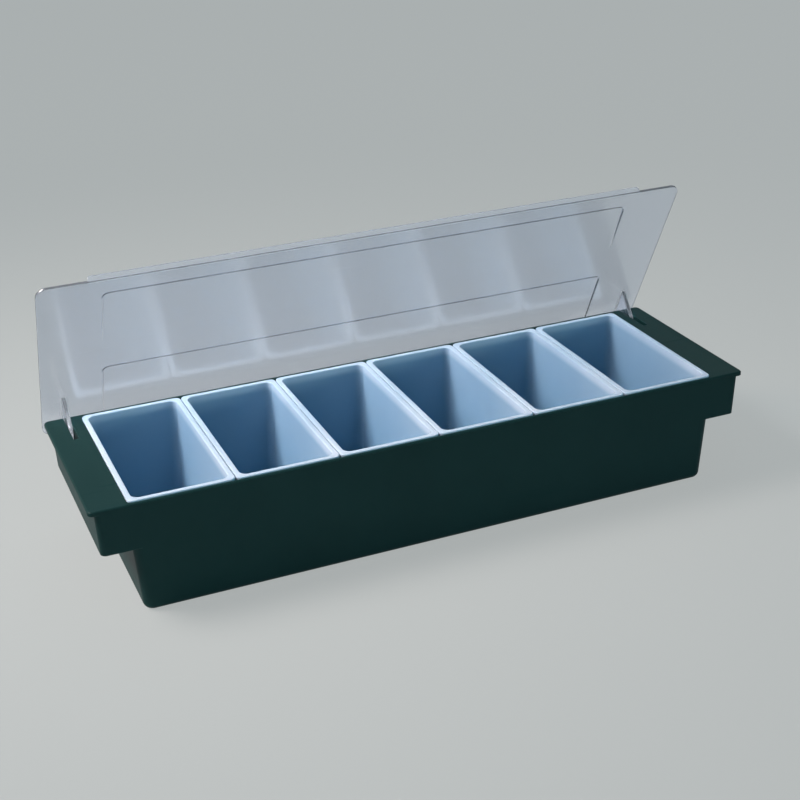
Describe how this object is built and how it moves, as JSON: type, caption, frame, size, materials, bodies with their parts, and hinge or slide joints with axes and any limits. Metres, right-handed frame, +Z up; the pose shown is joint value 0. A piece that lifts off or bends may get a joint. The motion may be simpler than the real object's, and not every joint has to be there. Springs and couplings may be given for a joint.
{
  "type": "bar garnish tray",
  "caption": "Long moulded tray with a hollow grip at each end, lift-out garnish cups standing side by side, and one clear lid hinged at the back corners.",
  "frame": {"origin": "middle of the flat underside, on the surface that the tray stands on", "axes": "+X along the tray, +Y from its open front to its hinged back, +Z up"},
  "size_m": [0.49, 0.1662, 0.2038],
  "materials": {
    "tray": "satin near-black ABS with a slight green cast",
    "insert": "polished pale blue-white ABS",
    "lid": "clear polished plastic with a faint blue tint"
  },
  "bodies": {
    "tray": {"tray": "tray"},
    "lid": {"lid": "lid"},
    "insert_1": {"insert_1": "insert"},
    "insert_2": {"insert_2": "insert"},
    "insert_3": {"insert_3": "insert"},
    "insert_4": {"insert_4": "insert"},
    "insert_5": {"insert_5": "insert"},
    "insert_6": {"insert_6": "insert"}
  },
  "joints": [
    {"name": "lid_hinge", "type": "hinge", "parent": "tray", "child": "lid", "pos_m": [0, 0.0667, 0.0642], "axis": [-1, 0, 0], "range_deg": [-63, 47]},
    {"name": "insert_1_lift", "type": "slide", "parent": "tray", "child": "insert_1", "axis": [0, 0, 1], "range_m": [0, 0.016]},
    {"name": "insert_2_lift", "type": "slide", "parent": "tray", "child": "insert_2", "axis": [0, 0, 1], "range_m": [0, 0.016]},
    {"name": "insert_3_lift", "type": "slide", "parent": "tray", "child": "insert_3", "axis": [0, 0, 1], "range_m": [0, 0.016]},
    {"name": "insert_4_lift", "type": "slide", "parent": "tray", "child": "insert_4", "axis": [0, 0, 1], "range_m": [0, 0.016]},
    {"name": "insert_5_lift", "type": "slide", "parent": "tray", "child": "insert_5", "axis": [0, 0, 1], "range_m": [0, 0.016]},
    {"name": "insert_6_lift", "type": "slide", "parent": "tray", "child": "insert_6", "axis": [0, 0, 1], "range_m": [0, 0.016]}
  ]
}
